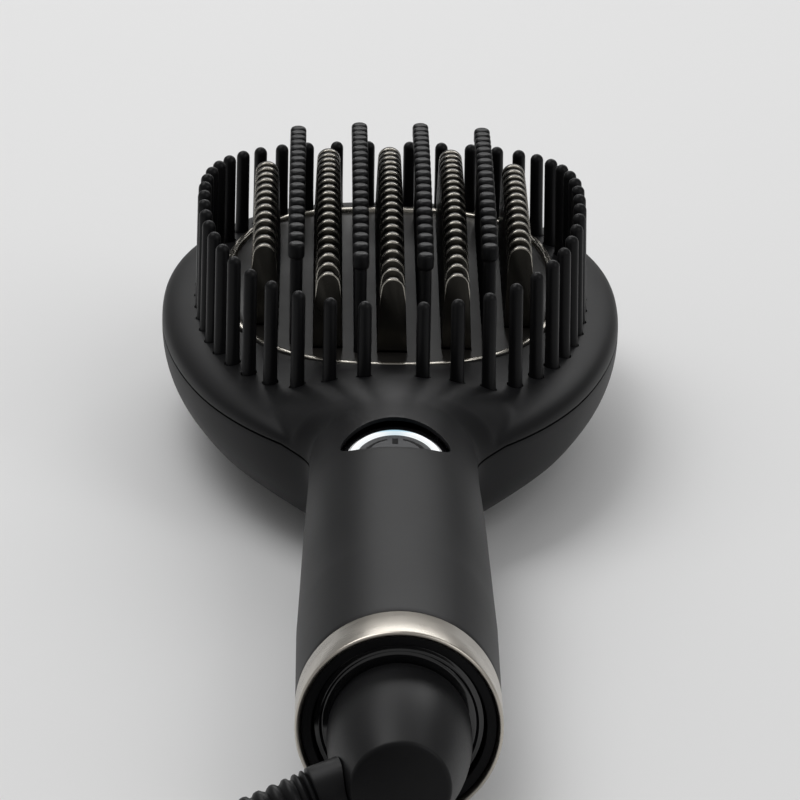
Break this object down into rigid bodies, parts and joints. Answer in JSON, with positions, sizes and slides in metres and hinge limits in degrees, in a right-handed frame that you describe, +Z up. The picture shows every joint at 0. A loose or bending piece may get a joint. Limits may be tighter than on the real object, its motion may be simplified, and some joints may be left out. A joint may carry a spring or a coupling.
{
  "type": "heated hair straightening brush",
  "caption": "Corded paddle brush with a heated plate of upright fins and cool knobs inside a ring of guard pins, a lit power button and a swivelling cord boot.",
  "frame": {"origin": "centre of the brush's footprint on the table, measured without its cord", "axes": "+Y from the cord end of the handle to the tip of the head, +Z up out of the bristles, +X to the right seen from the handle"},
  "size_m": [0.1295, 0.4653, 0.0506],
  "materials": {
    "soft_black": "soft-touch satin black",
    "gloss_black": "high-gloss black",
    "bristle_black": "heat-resistant nylon, satin black",
    "titanium": "dark titanium coating, glossy",
    "nickel": "warm nickel, finely brushed",
    "boot_black": "satin dark grey",
    "cord_black": "matte flexible jacket",
    "light_white": "translucent light ring, lit",
    "button_grey": "satin dark grey with a pale switch sign",
    "ceramic": "heat-resistant moulding and ceramic",
    "board_green": "circuit board",
    "chip_black": "moulded electronic parts",
    "steel": "plain steel",
    "brass": "plain brass",
    "wire_red": "silicone wire jacket",
    "tie_black": "woven strap"
  },
  "bodies": {
    "root": {"main_housing": "soft_black", "back_cover": "soft_black", "heater_plate": "titanium", "fin_row_1": "titanium", "fin_row_2": "titanium", "fin_row_3": "titanium", "fin_row_4": "titanium", "fin_row_5": "titanium", "knob_row_1": "bristle_black", "knob_row_2": "bristle_black", "knob_row_3": "bristle_black", "knob_row_4": "bristle_black", "guard_bristles_1": "bristle_black", "guard_bristles_2": "bristle_black", "guard_bristles_3": "bristle_black", "guard_bristles_4": "bristle_black", "insulator_tray": "ceramic", "ptc_heaters": "ceramic", "heater_clamp": "steel", "thermal_fuse": "steel", "temperature_sensor": "ceramic", "control_board": "board_green", "board_components": "chip_black", "tact_switch": "chip_black", "button_bezel": "gloss_black", "light_ring": "light_white", "end_ring": "nickel", "end_cap": "gloss_black", "contact_block": "chip_black", "contact_brushes": "brass", "cover_screws": "steel", "board_screws": "steel", "clamp_screws": "steel", "heater_wires": "wire_red", "strain_relief": "cord_black", "cord_lead": "cord_black", "cord_coil": "cord_black", "cord_tail": "cord_black", "cord_tie": "tie_black", "plug_body": "cord_black", "plug_pins": "nickel"},
    "button": {"power_button": "button_grey", "switch_plunger": "chip_black"},
    "swivel": {"swivel_boot": "boot_black", "slip_rings": "brass", "swivel_retainer": "steel"}
  },
  "joints": [
    {"name": "power_button_press", "type": "slide", "parent": "root", "child": "button", "axis": [0, 0, -1], "range_m": [0, 0.0008], "stiffness_N_per_m": 1200},
    {"name": "cord_swivel", "type": "hinge", "parent": "root", "child": "swivel", "pos_m": [0, -0.1475, 0.018], "axis": [0, 1, 0], "continuous": true}
  ]
}
